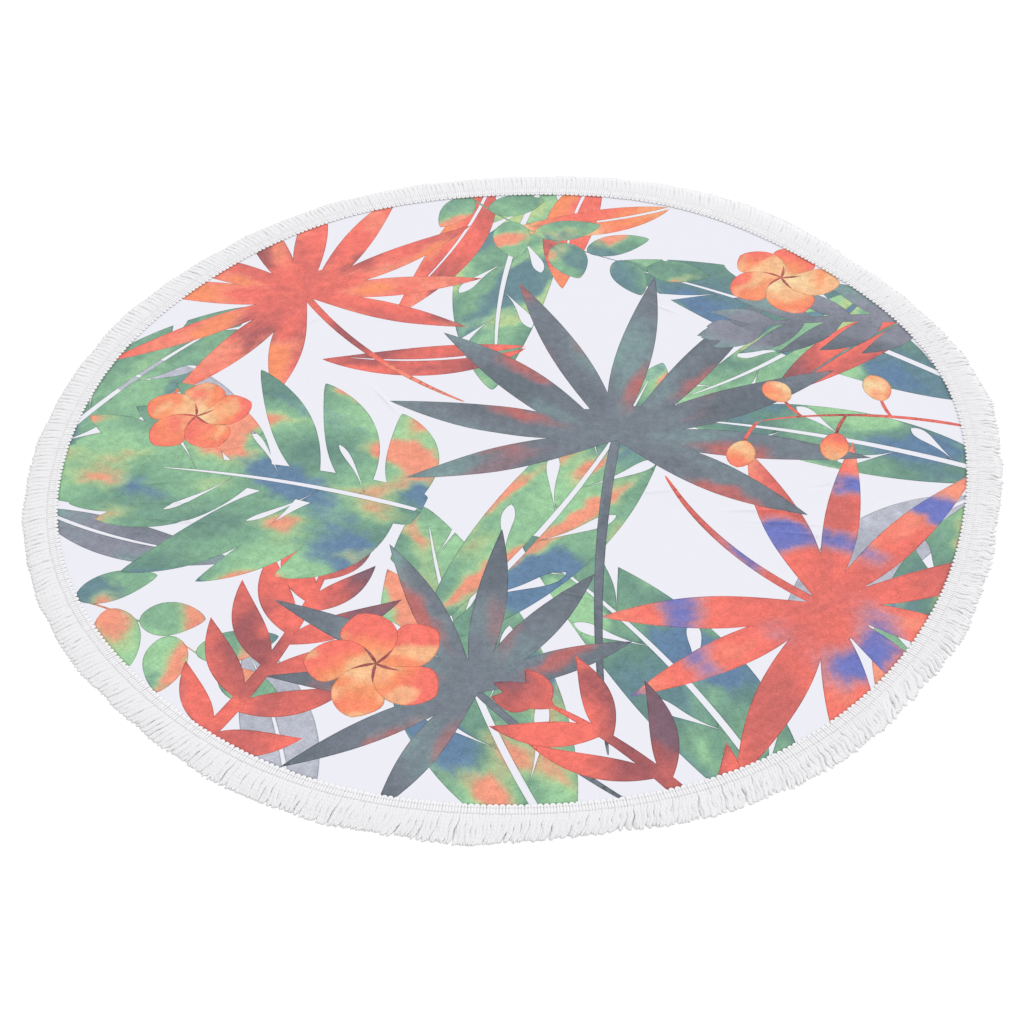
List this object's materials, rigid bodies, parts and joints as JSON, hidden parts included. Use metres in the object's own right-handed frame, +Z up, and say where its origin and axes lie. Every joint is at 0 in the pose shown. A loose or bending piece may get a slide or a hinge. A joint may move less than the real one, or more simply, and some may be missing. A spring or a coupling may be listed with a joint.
{
  "type": "round beach towel",
  "caption": "Round printed beach towel spread flat, with a white heading braid and a white fringe all round its edge.",
  "frame": {"origin": "middle of the panel's underside, on the surface that the towel lies on", "axes": "+Z up, through the cloth's thickness; +X to the right and +Y away from someone who looks at it as in the picture"},
  "size_m": [1.5076, 1.4949, 0.0042],
  "materials": {
    "printed_cloth": "sheared microfibre towelling, matt, printed with tropical leaves on a white ground",
    "white_cotton": "soft white cotton yarn, matt"
  },
  "bodies": {
    "root": {"printed_panel": "printed_cloth", "heading_braid": "white_cotton", "fringe": "white_cotton"}
  },
  "joints": []
}
